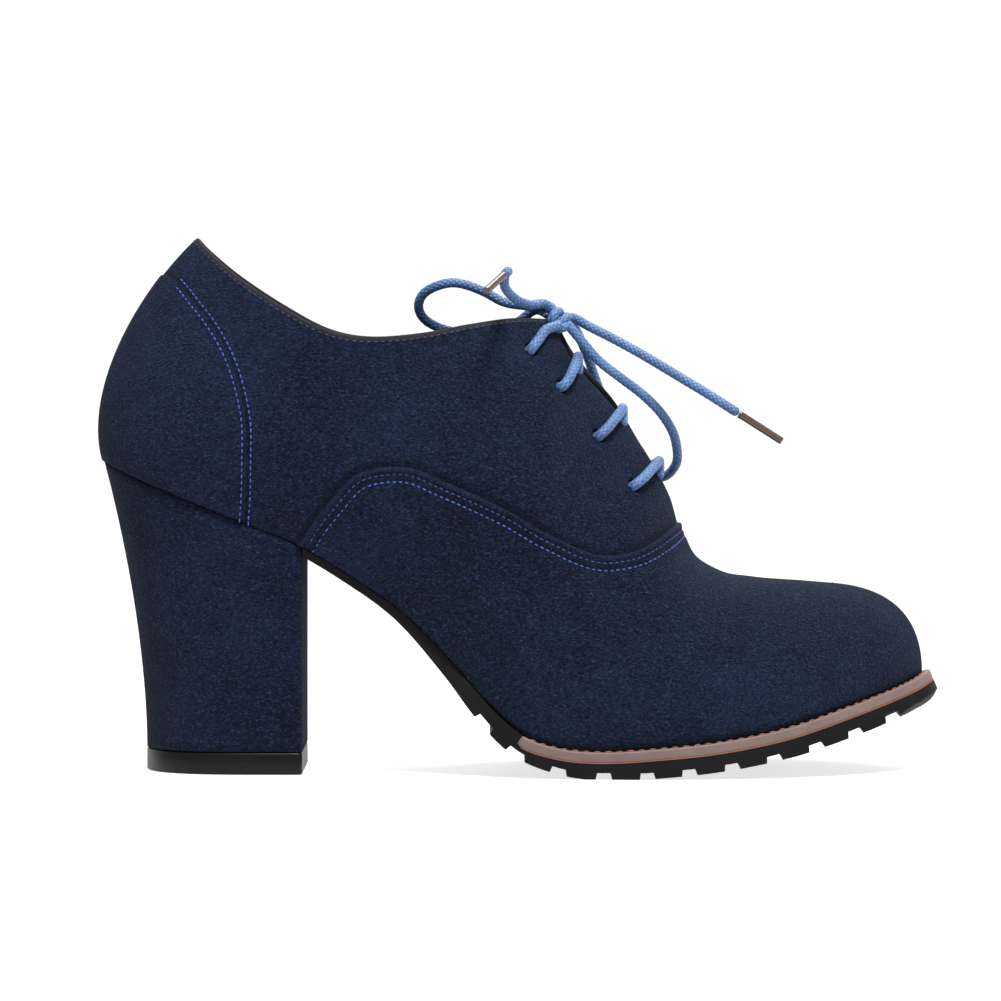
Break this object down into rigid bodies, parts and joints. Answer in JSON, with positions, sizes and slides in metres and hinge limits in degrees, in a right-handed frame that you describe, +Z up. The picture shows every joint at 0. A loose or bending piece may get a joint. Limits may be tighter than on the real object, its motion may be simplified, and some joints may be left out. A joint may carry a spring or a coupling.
{
  "type": "lace-up heeled shoe",
  "caption": "Women's oxford style lace-up shoe in navy suede on a high covered block heel, with a taupe welt, a lugged black outsole and a tied blue lace.",
  "frame": {"origin": "on the floor, under the middle of the shoe's length and width, the bow left out", "axes": "+X from heel to toe, +Z up, -Y the outer side of a right shoe"},
  "size_m": [0.241, 0.0876, 0.1513],
  "materials": {
    "upper_suede": "napped suede, navy",
    "tongue_suede": "napped suede, navy",
    "heel_suede": "napped suede, navy",
    "insole_lining": "smooth lining, dark grey",
    "welt": "satin, taupe",
    "outsole_rubber": "matt, black",
    "top_lift_rubber": "satin, black",
    "lace": "waxed round braid, mid blue",
    "aglet": "gloss, brown"
  },
  "bodies": {
    "root": {"upper": "upper_suede", "tongue": "tongue_suede", "insole": "insole_lining", "welt": "welt", "outsole": "outsole_rubber", "heel": "heel_suede", "top_lift": "top_lift_rubber", "lace_cross_1": "lace", "lace_cross_2": "lace", "lace_cross_3": "lace", "lace_cross_4": "lace", "lace_knot": "lace", "lace_loop_left": "lace", "lace_loop_right": "lace", "lace_end_left": "lace", "lace_end_right": "lace", "aglet_left": "aglet", "aglet_right": "aglet"}
  },
  "joints": []
}
